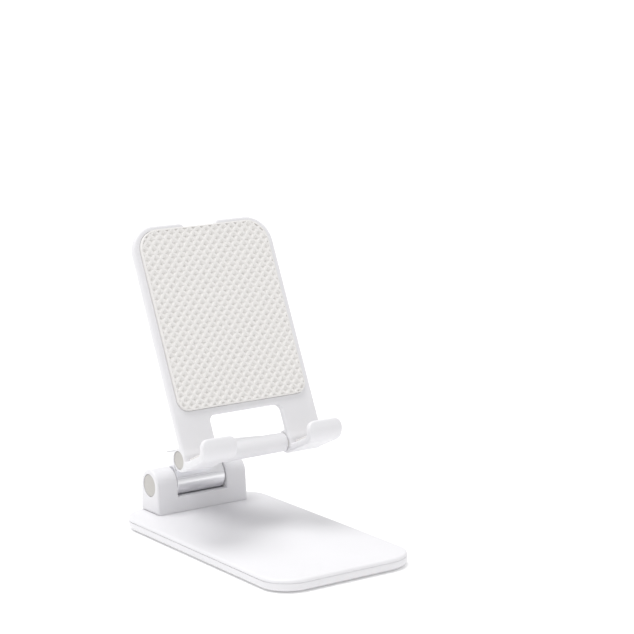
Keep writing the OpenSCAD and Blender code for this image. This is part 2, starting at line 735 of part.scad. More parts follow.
base_cover();
base_tray();
base_weight();
foot_pad();
hinge_block();
block_screws();
tray_screws();
lower_shaft();
lower_friction_washers();
lower_disc_springs();
lower_nut();
lower_cap_left();
lower_cap_right();
stem();
stem_bushes();
stop_screws();
arm_sleeve();
sleeve_glide();
leaf_spring();
head_bushes();
cradle();
cradle_pad();
hook_strip_left();
hook_strip_right();
upper_shaft();
upper_friction_washers();
upper_disc_springs();
upper_nut();
upper_cap_left();
upper_cap_right();
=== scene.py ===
import json
import math

import bmesh
import bpy
import numpy as np
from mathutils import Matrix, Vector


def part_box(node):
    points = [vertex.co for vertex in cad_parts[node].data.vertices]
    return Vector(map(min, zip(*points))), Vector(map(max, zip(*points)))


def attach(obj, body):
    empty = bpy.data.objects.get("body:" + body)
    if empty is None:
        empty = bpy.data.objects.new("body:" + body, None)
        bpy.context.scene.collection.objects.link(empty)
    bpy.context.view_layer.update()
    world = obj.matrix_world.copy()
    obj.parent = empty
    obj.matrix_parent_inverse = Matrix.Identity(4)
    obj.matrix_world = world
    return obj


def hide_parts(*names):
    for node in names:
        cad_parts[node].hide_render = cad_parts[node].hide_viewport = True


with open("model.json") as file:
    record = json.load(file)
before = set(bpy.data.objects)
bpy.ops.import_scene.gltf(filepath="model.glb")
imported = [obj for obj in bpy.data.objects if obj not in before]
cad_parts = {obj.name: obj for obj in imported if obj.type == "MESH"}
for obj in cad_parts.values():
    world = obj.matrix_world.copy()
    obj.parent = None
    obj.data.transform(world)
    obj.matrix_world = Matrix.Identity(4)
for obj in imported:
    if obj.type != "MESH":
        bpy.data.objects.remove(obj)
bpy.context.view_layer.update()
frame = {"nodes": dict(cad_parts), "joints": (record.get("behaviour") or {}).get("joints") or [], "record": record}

import openvdb
from bpy.props import FloatProperty, FloatVectorProperty, IntProperty, PointerProperty
from mathutils import Matrix, Vector

bl_info = {
    "name": "Folding phone stand",
    "version": (1, 0, 0),
    "blender": (4, 5, 0),
    "location": "View3D > Sidebar > Stand",
    "description": "Builds the moulded, metal and silicone pieces of a folding phone stand",
    "category": "Object",
}

MM = 0.001
X_AXIS = Vector((1, 0, 0))

# How far a cutting shape reaches past the piece it cuts
OVERCUT = MM
# Fits between pieces
RUN_GAP = 0.02 * MM
BLOCK_CAP_GAP = 0.06 * MM
CRADLE_CAP_GAP = 0.05 * MM
BLOCK_SEAT_DEPTH = 4 * MM
CRADLE_SEAT_DEPTH = 2.5 * MM
SHAFT_BORE = 2.5 * MM
PIN_BORE = 1.77 * MM
# The sleeve's walls outside its glide, and the solid end under its head
SLEEVE_SIDE_WALL = 1.82 * MM
SLEEVE_WALL = 1.02 * MM
SLEEVE_END = 3 * MM
# Roundings inside the cradle moulding
WINDOW_ROUND = 0.6 * MM
NOTCH_FOOT_ROUND = 0.6 * MM
NOTCH_ROUND = 0.8 * MM
LUG_BLEND = 0.6 * MM
COLUMN_BLEND = 0.9 * MM
# Noise in the finishes
SLOW_SCALE = 45
SLOW_DETAIL = 3
GRAIN_DETAIL = 2
GRAIN_DEPTH = 0.2

# ---- Places that come from the frame ----

JOINTS = {joint["name"]: joint for joint in frame["joints"]}
MOUNTS = {mount["name"]: mount for mount in frame["record"]["mounts"]}
LOWER_HINGE = Vector(JOINTS["arm_tilt"]["pos_m"])
UPPER_HINGE = Vector(JOINTS["cradle_tilt"]["pos_m"])
ARM_LINE = Vector(JOINTS["arm_slide"]["axis"]).normalized()
CRADLE_FRONT = Vector(MOUNTS["phone_back_face"]["axis"]).normalized()


def frame_at(origin, up):
    """A place with its origin there, X to the right and Z along up."""
    turn = Matrix((X_AXIS, up.cross(X_AXIS), up)).transposed().to_4x4()
    return Matrix.Translation(origin) @ turn


UPRIGHT = Matrix.Identity(4)
AT_BLOCK = Matrix.Translation(LOWER_HINGE)
AT_ARM = frame_at(LOWER_HINGE, ARM_LINE)
# The sleeve's middle line runs along the arm, raised above the lower hinge, to the upper one
_, ARM_RISE, HEAD_AT = AT_ARM.inverted() @ UPPER_HINGE
AT_SLEEVE = AT_ARM @ Matrix.Translation((0, ARM_RISE, 0))
AT_HEAD = AT_SLEEVE @ Matrix.Translation((0, 0, HEAD_AT))
AT_CRADLE = frame_at(UPPER_HINGE, X_AXIS.cross(-CRADLE_FRONT))


def local_box(node, place):
    """Lowest and highest corner of a CAD node, as seen in a place."""
    inside = place.inverted()
    points = np.array([inside @ v.co for v in frame["nodes"][node].data.vertices])
    return points.min(0), points.max(0)


# ---- Sizes and colours that a user would change ----


def length(name, text, default):
    return FloatProperty(name=name, description=text, default=default, unit="LENGTH", precision=5)


def colour(name, text, default):
    return FloatVectorProperty(
        name=name, description=text, default=default, size=3, min=0, max=1, subtype="COLOR"
    )


class BaseSizes(bpy.types.PropertyGroup):
    corner: length("Corner", "Radius of the base's corners in plan", 13.4 * MM)
    bow: length("Front bow", "How far the front edge bows out at its middle", 1.0 * MM)
    top_fillet: length("Top fillet", "Rounding of the cover's upper edge", 1.2 * MM)
    foot_fillet: length("Foot fillet", "Rounding of the tray's lower edge", 2.0 * MM)
    groove: length("Groove", "Depth of the parting groove", 0.22 * MM)
    groove_height: length("Groove height", "Height of the parting groove", 0.2 * MM)


class BlockSizes(bpy.types.PropertyGroup):
    arch: length("Arch", "Radius of the block's round top", 7.0 * MM)
    slot_floor: length("Slot floor", "Height of the slot's floor above the cover", 6.9 * MM)
    scoop_gap: length("Scoop gap", "Gap between the barrel and the scooped floor", 0.4 * MM)
    fillet: length("Fillet", "Rounding of the block's outer edges", 1.0 * MM)
    slot_fillet: length("Slot fillet", "Rounding of the slot's edges", 0.45 * MM)
    step: length("Mesh step", "Size of the mesh's cells", 0.25 * MM)


class ArmSizes(bpy.types.PropertyGroup):
    stem_fillet: length("Stem fillet", "Rounding of the metal stem's edges", 0.5 * MM)
    web: length("Web", "Length of the web between the stem's barrel and blade", 5.0 * MM)
    web_fillet: length("Web fillet", "Fillet where the web meets the barrel and the blade", 0.8 * MM)
    seam_width: length("Seam width", "Width of the fine seam along the barrel", 0.5 * MM)
    seam_angle: FloatProperty(
        name="Seam angle", description="Turn of the barrel's seam down from the arm's line",
        default=math.radians(8), subtype="ANGLE")
    sleeve_corner: length("Sleeve corner", "Rounding of the sleeve's long edges", 2.4 * MM)
    sleeve_fillet: length("Sleeve fillet", "Rounding of the sleeve's mouth", 0.5 * MM)
    blend: length("Blend", "Fillet between the sleeve and its head barrel", 0.8 * MM)
    step: length("Mesh step", "Size of the mesh's cells", 0.25 * MM)


class CradleSizes(bpy.types.PropertyGroup):
    plate: length("Plate", "Thickness of the plate", 3.06 * MM)
    plate_front: length("Plate front", "Hinge axis to the plate's front face", 5.0 * MM)
    corner: length("Top corners", "Radius of the plate's top corners", 12.0 * MM)
    notch_width: length("Notch width", "Width of the notch in the top edge", 18.0 * MM)
    notch_depth: length("Notch depth", "Depth of the notch in the top edge", 1.9 * MM)
    window_height: length("Window height", "Height of the window for the arm", 16.0 * MM)
    window_corner: length("Window corners", "Radius of the window's corners", 3.0 * MM)
    hook_width: length("Hook width", "Width of each hook", 17.0 * MM)
    hook: length("Hook thickness", "Thickness of the hooks", 3.0 * MM)
    hook_bend: length("Hook bend", "Outer radius of the hooks' bend", 6.0 * MM)
    hook_tip: length("Hook tip", "Height of the hooks' tips above the hinge axis", 4.1 * MM)
    hook_corner: length("Hook corners", "Radius of the tips' corners", 4.0 * MM)
    fillet: length("Fillet", "Rounding of the outer edges", 0.9 * MM)
    step: length("Mesh step", "Size of the mesh's cells", 0.42 * MM)
    strip: length("Strip", "Thickness of the silicone strips in the hooks", 0.78 * MM)
    strip_corner: length("Strip corners", "Radius of the corners at the strips' tips", 2.5 * MM)
    strip_fillet: length("Strip fillet", "Rounding of the strips' edges", 0.3 * MM)
    strip_step: length("Strip mesh step", "Size of the strip mesh's cells", 0.2 * MM)


class PadSizes(bpy.types.PropertyGroup):
    corner: length("Top corners", "Radius of the pad's top corners", 9.5 * MM)
    foot_corner: length("Foot corners", "Radius of the pad's lower corners", 5.0 * MM)
    fillet: length("Fillet", "Rounding of the pad's front edge", 0.35 * MM)
    border: length("Border", "Plain border round the diamonds", 0.7 * MM)
    pitch: length("Pitch", "Distance between diamonds in a row", 4.3 * MM)
    row: length("Row", "Distance between two rows of diamonds", 2.13 * MM)
    pit: length("Pit depth", "Depth of the hollow diamonds", 0.95 * MM)
    ridge: length("Ridge", "Half the width of the ridge between diamonds", 0.45 * MM)
    gap: length("Gap", "Gap between the pad and its recess", 0.15 * MM)
    recess: length("Recess", "Depth of the recess that holds the pad", 1.0 * MM)


class Finishes(bpy.types.PropertyGroup):
    shell: colour("Shell", "White moulded plastic", (0.79, 0.785, 0.805))
    tray: colour("Tray", "White plastic of the tray", (0.785, 0.78, 0.8))
    cap: colour("Caps", "Grey end caps", (0.53, 0.515, 0.49))
    silicone: colour("Silicone", "Back pad and hook strips", (0.455, 0.44, 0.43))
    foot: colour("Foot pad", "Silicone under the base", (0.7, 0.695, 0.69))
    plating: colour("Plating", "Satin plating on the stem", (0.9, 0.9, 0.92))
    steel: colour("Steel", "Shafts, nuts, screws and the weight", (0.55, 0.56, 0.58))
    bronze: colour("Bronze", "Sintered bushes", (0.55, 0.38, 0.2))
    polymer: colour("Polymer", "Washers and the glide", (0.72, 0.7, 0.62))


class StageSizes(bpy.types.PropertyGroup):
    azimuth: FloatProperty(
        name="Azimuth", description="Camera's turn round the stand",
        default=math.radians(-34.59), subtype="ANGLE")
    elevation: FloatProperty(
        name="Elevation", description="Camera's height above the horizon",
        default=math.radians(10.73), subtype="ANGLE")
    roll: FloatProperty(
        name="Roll", description="Camera's roll", default=math.radians(-0.7), subtype="ANGLE")
    distance: length("Distance", "Camera to the point it looks at", 0.9)
    lens: FloatProperty(name="Lens", description="Focal length", default=122.58, subtype="DISTANCE_CAMERA")
    aim: FloatVectorProperty(
        name="Aim", description="Point that the camera looks at",
        default=(0.01986, -0.01289, 0.09835), size=3, subtype="TRANSLATION")
    dome: FloatProperty(name="Dome", description="Strength of the light from all round", default=0.66)
    key: FloatProperty(name="Key", description="Strength of the light overhead", default=2.0)
    glow: FloatProperty(name="Glow", description="Strength of the floor's own light", default=0.14)
    key_spread: FloatProperty(
        name="Key spread", description="Angle that the overhead light comes from",
        default=math.radians(45), subtype="ANGLE")


GROUPS = {
    "stand_base": BaseSizes,
    "stand_block": BlockSizes,
    "stand_arm": ArmSizes,
    "stand_cradle": CradleSizes,
    "stand_pad": PadSizes,
    "stand_finish": Finishes,
    "stand_stage": StageSizes,
}

# ---- Meshes ----


def new_object(name, points, faces, place=UPRIGHT):
    """A piece from points in a place. Its object stays at the origin and its normals point out."""
    mesh = bpy.data.meshes.new(name)
    mesh.from_pydata([tuple(p) for p in points], [], [tuple(int(i) for i in f) for f in faces])
    mesh.transform(place)
    shape = bmesh.new()
    shape.from_mesh(mesh)
    bmesh.ops.remove_doubles(shape, verts=shape.verts, dist=1e-7)
    bmesh.ops.recalc_face_normals(shape, faces=shape.faces)
    shape.to_mesh(mesh)
    shape.free()
    piece = bpy.data.objects.new(name, mesh)
    bpy.context.scene.collection.objects.link(piece)
    return piece


def baked(piece):
    """Turns a piece with modifiers into a plain mesh."""
    bpy.context.view_layer.update()
    graph = bpy.context.evaluated_depsgraph_get()
    mesh = bpy.data.meshes.new_from_object(piece.evaluated_get(graph), depsgraph=graph)
    old = piece.data
    piece.modifiers.clear()
    piece.data = mesh
    mesh.name = piece.name
    bpy.data.meshes.remove(old)
    return piece


def combine(piece, other, operation):
    """Adds, cuts or keeps what is shared with another closed shape, which is used up."""
    step = piece.modifiers.new("combine", "BOOLEAN")
    step.operation = operation
    step.object = other
    step.solver = "MANIFOLD"
    baked(piece)
    bpy.data.objects.remove(other)
    return piece


def shade(piece, angle=32):
    """Smooth shading with crisp edges past an angle in degrees."""
    piece.data.shade_smooth()
    piece.data.set_sharp_from_angle(angle=math.radians(angle))
    return piece


def arc(centre, radius, start, end, count=16):
    """Points along an arc, angles in degrees."""
    return [
        (centre[0] + radius * math.cos(a), centre[1] + radius * math.sin(a))
        for a in np.radians(np.linspace(start, end, count + 1))
    ]


def rounded_rect(low, high, foot_radius, top_radius, count=16):
    """Outline of a rectangle with round corners, anticlockwise, from its lower right corner."""
    (x0, z0), (x1, z1) = low, high
    return (
        arc((x1 - foot_radius, z0 + foot_radius), foot_radius, -90, 0, count)
        + arc((x1 - top_radius, z1 - top_radius), top_radius, 0, 90, count)
        + arc((x0 + top_radius, z1 - top_radius), top_radius, 90, 180, count)
        + arc((x0 + foot_radius, z0 + foot_radius), foot_radius, 180, 270, count)
    )


def inset(outline, distance):
    """An anticlockwise outline moved inwards along the mitre of each pair of edges."""
    points = np.array(outline)
    before = points - np.roll(points, 1, 0)
    after = np.roll(points, -1, 0) - points
    before /= np.maximum(np.linalg.norm(before, axis=1, keepdims=True), 1e-12)
    after /= np.maximum(np.linalg.norm(after, axis=1, keepdims=True), 1e-12)
    inward_before = np.stack([-before[:, 1], before[:, 0]], 1)
    inward_after = np.stack([-after[:, 1], after[:, 0]], 1)
    middle = inward_before + inward_after
    middle /= np.maximum(np.linalg.norm(middle, axis=1, keepdims=True), 1e-12)
    stretch = np.maximum((middle * inward_after).sum(1, keepdims=True), 0.3)
    return points + middle * distance / stretch


def fillet_steps(edge, radius, sign, count=6):
    """(level, inset) pairs that round an edge, from the flat end to the side."""
    return [
        (edge + sign * radius * (1 - math.cos(a)), radius * (1 - math.sin(a)))
        for a in np.linspace(0, math.pi / 2, count + 1)
    ]


def prism(name, outline, low, high, place, low_fillet=0.0, high_fillet=0.0, normal="Z"):
    """An outline drawn out from low to high along an axis of a place, with rounded end edges.

    normal Z takes the outline's points as (x, y), Y as (x, z) and X as (y, z).
    """
    levels = fillet_steps(low, low_fillet, 1) if low_fillet else [(low, 0.0)]
    levels += list(reversed(fillet_steps(high, high_fillet, -1))) if high_fillet else [(high, 0.0)]
    rings = []
    for level, margin in levels:
        flat = inset(outline, margin) if margin else np.array(outline)
        end = np.full((len(flat), 1), level)
        if normal == "Z":
            rings.append(np.hstack([flat, end]))
        elif normal == "Y":
            rings.append(np.hstack([flat[:, :1], end, flat[:, 1:]]))
        else:
            rings.append(np.hstack([end, flat]))
    count = len(outline)
    faces = [list(range(count))[::-1], [(len(rings) - 1) * count + i for i in range(count)]]
    for ring in range(len(rings) - 1):
        for i in range(count):
            j = (i + 1) % count
            faces.append([ring * count + i, ring * count + j, (ring + 1) * count + j, (ring + 1) * count + i])
    return new_object(name, np.vstack(rings), faces, place)


def rod(name, radius, low, high, place, low_fillet=0.0, high_fillet=0.0, sides=96):
    """A cylinder along a place's X axis."""
    circle = arc((0, 0), radius, 0, 360, sides)[:-1]
    return prism(name, circle, low, high, place, low_fillet, high_fillet, "X")


# ---- Solids as distance fields, for mouldings whose edges all run into fillets ----


def both(a, b, radius=0.0):
    """What two fields share, with the edge between them rounded."""
    if not radius:
        return np.maximum(a, b)
    corner = np.hypot(np.maximum(a + radius, 0), np.maximum(b + radius, 0))
    return np.minimum(-radius, np.maximum(a, b)) + corner


def either(a, b, radius=0.0):
    """Two fields joined, with a fillet in the corner between them."""
    return -both(-a, -b, radius)


def slab(value, low, high):
    return np.abs(value - (low + high) / 2) - (high - low) / 2


def rect_field(u, v, low, high, radius):
    """Distance to a rectangle with round corners."""
    du = slab(u, low[0] + radius, high[0] - radius)
    dv = slab(v, low[1] + radius, high[1] - radius)
    outside = np.hypot(np.maximum(du, 0), np.maximum(dv, 0))
    return outside + np.minimum(np.maximum(du, dv), 0) - radius


def segment_field(u, v, start, end):
    """Distance to a straight line between two points."""
    along = np.array(end) - np.array(start)
    share = ((u - start[0]) * along[0] + (v - start[1]) * along[1]) / (along @ along)
    share = np.clip(share, 0, 1)
    return np.hypot(u - start[0] - share * along[0], v - start[1] - share * along[1])


def mesh_of(name, field, low, high, step, place):
    """The surface where a field is zero, meshed in a box and put in its place."""
    low, high = np.array(low) - 2.5 * step, np.array(high) + 2.5 * step
    axes = [np.arange(a, b + step, step) for a, b in zip(low, high)]
    x, y, z = np.meshgrid(*axes, indexing="ij", sparse=True)
    shape = tuple(len(a) for a in axes)
    values = np.broadcast_to(field(x, y, z), shape)
    grid = openvdb.FloatGrid(3.0)
    grid.copyFromArray(np.clip(values / step, -3, 3).astype(np.float32))
    points, quads = grid.convertToQuads(0.0)
    return new_object(name, points * step + low, quads, place)


# ---- Materials ----


def material(name, base, roughness, metallic=0.0, grain=0.0, grain_size=0.25 * MM, stretch=(1, 1, 1),
             tint=0.03, spread=0.06, coat=0.0, sheen=0.0):
    """A procedural finish: a slow change of colour and gloss, and a fine grain in the surface.

    tint is how much the colour changes, spread how much the roughness does, grain how strong the
    bump is, and stretch draws the grain out along an axis, as brushing or a moulding flow does.
    """
    finish = bpy.data.materials.new(name)
    finish.use_nodes = True
    nodes, links = finish.node_tree.nodes, finish.node_tree.links
    shader = nodes["Principled BSDF"]
    shader.inputs["Metallic"].default_value = metallic
    shader.inputs["Coat Weight"].default_value = coat
    shader.inputs["Sheen Weight"].default_value = sheen
    place = nodes.new("ShaderNodeTexCoord")
    slow = nodes.new("ShaderNodeTexNoise")
    slow.inputs["Scale"].default_value = SLOW_SCALE
    slow.inputs["Detail"].default_value = SLOW_DETAIL
    links.new(place.outputs["Object"], slow.inputs["Vector"])
    ramp = nodes.new("ShaderNodeValToRGB")
    ramp.color_ramp.elements[0].position = 0.3
    ramp.color_ramp.elements[1].position = 0.7
    ramp.color_ramp.elements[0].color = (*[c * (1 - tint) for c in base], 1)
    ramp.color_ramp.elements[1].color = (*[min(1, c * (1 + tint)) for c in base], 1)
    links.new(slow.outputs["Fac"], ramp.inputs["Fac"])
    links.new(ramp.outputs["Color"], shader.inputs["Base Color"])
    map_grain = nodes.new("ShaderNodeMapping")
    map_grain.inputs["Scale"].default_value = stretch
    links.new(place.outputs["Object"], map_grain.inputs["Vector"])
    fine = nodes.new("ShaderNodeTexNoise")
    fine.inputs["Scale"].default_value = 1 / grain_size
    fine.inputs["Detail"].default_value = GRAIN_DETAIL
    links.new(map_grain.outputs["Vector"], fine.inputs["Vector"])
    gloss = nodes.new("ShaderNodeMapRange")
    gloss.inputs["To Min"].default_value = roughness - spread
    gloss.inputs["To Max"].default_value = roughness + spread
    links.new(fine.outputs["Fac"], gloss.inputs["Value"])
    links.new(gloss.outputs["Result"], shader.inputs["Roughness"])
    bump = nodes.new("ShaderNodeBump")
    bump.inputs["Strength"].default_value = grain
    bump.inputs["Distance"].default_value = grain_size * GRAIN_DEPTH
    links.new(fine.outputs["Fac"], bump.inputs["Height"])
    links.new(bump.outputs["Normal"], shader.inputs["Normal"])
    return finish


def shared(name, make):
    """A material by name, made the first time it is asked for."""
    return bpy.data.materials.get(name) or make(name)


def shell_finish(colours):
    return shared("shell_plastic", lambda n: material(n, colours.shell, 0.42, grain=0.12, tint=0.012))


def tray_finish(colours):
    return shared("tray_plastic", lambda n: material(n, colours.tray, 0.46, grain=0.14, tint=0.012))


def cap_finish(colours):
    return shared("cap_plastic", lambda n: material(n, colours.cap, 0.5, grain=0.2, tint=0.03))


def silicone_finish(colours):
    return shared("pad_silicone", lambda n: material(
        n, colours.silicone, 0.62, grain=0.25, grain_size=0.18 * MM, tint=0.03, sheen=0.05))


def foot_finish(colours):
    return shared("foot_silicone", lambda n: material(n, colours.foot, 0.7, grain=0.3, tint=0.05))


def plating_finish(colours):
    return shared("satin_plating", lambda n: material(
        n, colours.plating, 0.3, metallic=1.0, grain=0.08, grain_size=0.12 * MM,
        stretch=(0.02, 1, 1), tint=0.03, spread=0.05))


def steel_finish(colours):
    return shared("hardware_steel", lambda n: material(
        n, colours.steel, 0.35, metallic=1.0, grain=0.1, stretch=(1, 0.1, 1), tint=0.06))


def bronze_finish(colours):
    return shared("sintered_bronze", lambda n: material(
        n, colours.bronze, 0.45, metallic=1.0, grain=0.4, grain_size=0.15 * MM, tint=0.12))


def polymer_finish(colours):
    return shared("natural_polymer", lambda n: material(n, colours.polymer, 0.5, grain=0.15, tint=0.04))


def settle(piece, body, nodes, finish):
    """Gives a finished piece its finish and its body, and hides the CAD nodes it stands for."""
    piece.data.materials.clear()
    piece.data.materials.append(finish)
    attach(piece, body)
    if nodes:
        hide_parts(*nodes)
    return piece


# ---- Pieces ----


class Piece:
    """What the operators below have in common."""

    bl_options = {"REGISTER", "UNDO"}

    def execute(self, context):
        scene = context.scene
        self.finish = scene.stand_finish
        self.build(scene)
        return {"FINISHED"}


class STAND_OT_base(Piece, bpy.types.Operator):
    """Builds the base's cover and tray"""

    bl_idname = "stand.base"
    bl_label = "Base Cover and Tray"

    def outline(self, sizes):
        """The base in plan, with a front edge that bows out at its middle."""
        low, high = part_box("base_tray")
        points = np.array(rounded_rect(low[:2], high[:2], sizes.corner, sizes.corner))
        front = np.clip((low[1] + sizes.corner - points[:, 1]) / sizes.corner, 0, 1)
        points[:, 1] += sizes.bow * front * (points[:, 0] / high[0]) ** 2
        return points

    def build(self, scene):
        sizes = scene.stand_base
        outline = self.outline(sizes)
        tray_low, tray_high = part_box("base_tray")
        cover_low, cover_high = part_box("base_cover")
        seam = tray_high.z
        lap = 0.05 * MM
        # Each shell keeps the inside of its CAD node, cut to the rounded outside
        cover = self.cad_copy("cover_shell", "base_cover")
        skin = prism("skin", inset(outline, 0.01 * MM), cover_low.z - OVERCUT, cover_high.z - 0.005 * MM,
                     UPRIGHT, 0, sizes.top_fillet)
        combine(cover, skin, "INTERSECT")
        shade(cover)
        settle(cover, "base", ["base_cover"], shell_finish(self.finish))
        tray = self.cad_copy("tray_shell", "base_tray")
        skin = prism("skin", inset(outline, 0.01 * MM), tray_low.z + 0.005 * MM, seam + lap,
                     UPRIGHT, sizes.foot_fillet, 0)
        combine(tray, skin, "INTERSECT")
        groove = prism("groove", inset(outline, sizes.groove), seam - 2 * MM, seam + 2 * MM, UPRIGHT)
        ring = prism("ring", inset(outline, -OVERCUT), seam - sizes.groove_height, seam + OVERCUT, UPRIGHT)
        combine(ring, groove, "DIFFERENCE")
        combine(tray, ring, "DIFFERENCE")
        shade(tray)
        settle(tray, "base", ["base_tray"], tray_finish(self.finish))

    def cad_copy(self, name, node):
        """A CAD node's mesh as a piece of its own, with its loose triangles joined."""
        source = frame["nodes"][node].data
        points = [tuple(v.co) for v in source.vertices]
        return new_object(name, points, [tuple(p.vertices) for p in source.polygons])


class STAND_OT_foot_pad(Piece, bpy.types.Operator):
    """Builds the silicone pad under the base"""

    bl_idname = "stand.foot_pad"
    bl_label = "Foot Pad"

    def build(self, scene):
        low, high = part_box("foot_pad")
        corner = scene.stand_base.corner - (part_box("base_tray")[1].x - high.x)
        outline = rounded_rect(low[:2], high[:2], corner, corner)
        pad = prism("foot_pad_skin", outline, low.z, high.z, UPRIGHT, 0.25 * MM, 0.1 * MM)
        shade(pad)
        settle(pad, "base", ["foot_pad"], foot_finish(self.finish))


class STAND_OT_hinge_block(Piece, bpy.types.Operator):
    """Builds the hinge block with its slot and cap seats"""

    bl_idname = "stand.hinge_block"
    bl_label = "Hinge Block"

    def build(self, scene):
        sizes = scene.stand_block
        low, high = local_box("hinge_block", AT_BLOCK)
        slot = local_box("lower_friction_washers", AT_BLOCK)[1][0] + RUN_GAP
        barrel_radius = -local_box("stem", AT_ARM)[0][2]
        floor = low[2] + sizes.slot_floor
        half, drop = high[1], -low[2]
        lean = math.acos(sizes.arch / math.hypot(half, drop)) - math.atan2(drop, half)

        def field(x, y, z):
            side = np.abs(y) * math.cos(lean) + z * math.sin(lean) - sizes.arch
            outline = np.where(side_is_low(y, z), side, np.hypot(y, z) - sizes.arch)
            outline = both(outline, low[2] - z)
            body = both(outline, slab(x, low[0], high[0]), sizes.fillet)
            mouth = both(slab(x, -slot, slot), floor - z, 0.5 * sizes.slot_fillet)
            scoop = both(slab(x, -slot, slot), np.hypot(y, z) - barrel_radius - sizes.scoop_gap)
            return both(body, -either(mouth, scoop), sizes.slot_fillet)

        def side_is_low(y, z):
            """True below the line where the leaning sides meet the arch."""
            return z * math.cos(lean) < np.abs(y) * math.sin(lean)

        block = mesh_of("hinge_block_shell", field, low, high, sizes.step, AT_BLOCK)
        for side in (-1, 1):
            cap = local_box("lower_cap_left" if side < 0 else "lower_cap_right", AT_BLOCK)
            radius = cap[1][2] + BLOCK_CAP_GAP
            ends = sorted((side * (high[0] + OVERCUT), side * (high[0] - BLOCK_SEAT_DEPTH)))
            seat = rod("seat", radius, *ends, AT_BLOCK)
            combine(block, seat, "DIFFERENCE")
        bore = rod("bore", SHAFT_BORE, low[0] - OVERCUT, high[0] + OVERCUT, AT_BLOCK)
        combine(block, bore, "DIFFERENCE")
        shade(block, 40)
        settle(block, "base", ["hinge_block"], shell_finish(self.finish))


class STAND_OT_end_caps(Piece, bpy.types.Operator):
    """Builds the round caps that close both hinges"""

    bl_idname = "stand.end_caps"
    bl_label = "End Caps"

    def build(self, scene):
        for node, body, place in (
            ("lower_cap_left", "base", AT_BLOCK),
            ("lower_cap_right", "base", AT_BLOCK),
            ("upper_cap_left", "cradle", AT_CRADLE),
            ("upper_cap_right", "cradle", AT_CRADLE),
        ):
            low, high = local_box(node, place)
            on_left = high[0] < 0
            soft, crisp = 0.35 * MM, 0.1 * MM
            cap = rod(node + "_disc", high[2], low[0], high[0], place,
                      soft if on_left else crisp, crisp if on_left else soft)
            shade(cap)
            settle(cap, body, [node], cap_finish(self.finish))


class STAND_OT_stem(Piece, bpy.types.Operator):
    """Builds the plated metal stem with its barrel"""

    bl_idname = "stand.stem"
    bl_label = "Stem"

    def build(self, scene):
        sizes = scene.stand_arm
        low, high = local_box("stem", AT_ARM)
        barrel_radius = -low[2]
        blade_low = 2 * ARM_RISE - high[1]

        def field(x, y, z):
            width = slab(x, low[0], high[0])
            barrel = both(np.hypot(y, z) - barrel_radius, width, sizes.stem_fillet)
            web = both(both(slab(y, 0, ARM_RISE), slab(z, 0, sizes.web)), width, sizes.stem_fillet)
            section = rect_field(x, y, (low[0], blade_low), (high[0], high[1]), sizes.stem_fillet)
            blade = both(section, slab(z, 0, high[2]), sizes.stem_fillet)
            upper = both(both(either(web, blade, sizes.web_fillet), -z), width, sizes.stem_fillet)
            return np.maximum(either(barrel, upper, sizes.web_fillet), width)

        stem = mesh_of("plated_stem", field, low, high, sizes.step, AT_ARM)
        seam_floor = barrel_radius - sizes.seam_width / 2
        seam = [(0, seam_floor), (sizes.seam_width / 2, barrel_radius), (sizes.seam_width, high[2]),
                (-sizes.seam_width, high[2]), (-sizes.seam_width / 2, barrel_radius)]
        turn = Matrix.Rotation(-sizes.seam_angle, 4, "X")
        combine(stem, prism("seam", seam, low[0] - OVERCUT, high[0] + OVERCUT, AT_ARM @ turn, normal="X"),
                "DIFFERENCE")
        bush_radius = local_box("stem_bushes", AT_ARM)[1][1] + RUN_GAP
        combine(stem, rod("bore", bush_radius, low[0] - OVERCUT, high[0] + OVERCUT, AT_ARM), "DIFFERENCE")
        shade(stem, 40)
        settle(stem, "stem", ["stem"], plating_finish(self.finish))


class STAND_OT_sleeve(Piece, bpy.types.Operator):
    """Builds the white sleeve that slides on the stem"""

    bl_idname = "stand.sleeve"
    bl_label = "Arm Sleeve"

    def build(self, scene):
        sizes = scene.stand_arm
        low, high = local_box("arm_sleeve", AT_SLEEVE)
        glide_low, glide_high = local_box("sleeve_glide", AT_SLEEVE)
        head_radius = high[2] - HEAD_AT
        half_wide = glide_high[0] + SLEEVE_SIDE_WALL
        half_thick = glide_high[1] + SLEEVE_WALL

        def field(x, y, z):
            section = rect_field(x, y, (-half_wide, -half_thick), (half_wide, half_thick),
                                 sizes.sleeve_corner)
            body = both(section, slab(z, low[2], HEAD_AT), sizes.sleeve_fillet)
            head = both(np.hypot(y, z - HEAD_AT) - head_radius, slab(x, low[0], high[0]),
                        sizes.sleeve_fillet)
            return either(body, head, sizes.blend)

        sleeve = mesh_of("sleeve_shell", field, low, high, sizes.step, AT_SLEEVE)
        cavity = prism("cavity", rounded_rect(glide_low[:2], glide_high[:2], 0.6 * MM, 0.6 * MM, 4),
                       low[2] - OVERCUT, HEAD_AT - SLEEVE_END, AT_SLEEVE)
        combine(sleeve, cavity, "DIFFERENCE")
        bush_radius = local_box("head_bushes", AT_HEAD)[1][1] + RUN_GAP
        combine(sleeve, rod("bore", bush_radius, low[0] - OVERCUT, high[0] + OVERCUT, AT_HEAD), "DIFFERENCE")
        shade(sleeve, 40)
        settle(sleeve, "sleeve", ["arm_sleeve"], shell_finish(self.finish))


def pad_outline(sizes, margin=0.0):
    """The back pad from the front, grown by a margin."""
    low, high = local_box("cradle_pad", AT_CRADLE)
    return rounded_rect((low[0] - margin, low[2] - margin), (high[0] + margin, high[2] + margin),
                        sizes.foot_corner + margin, sizes.corner + margin)


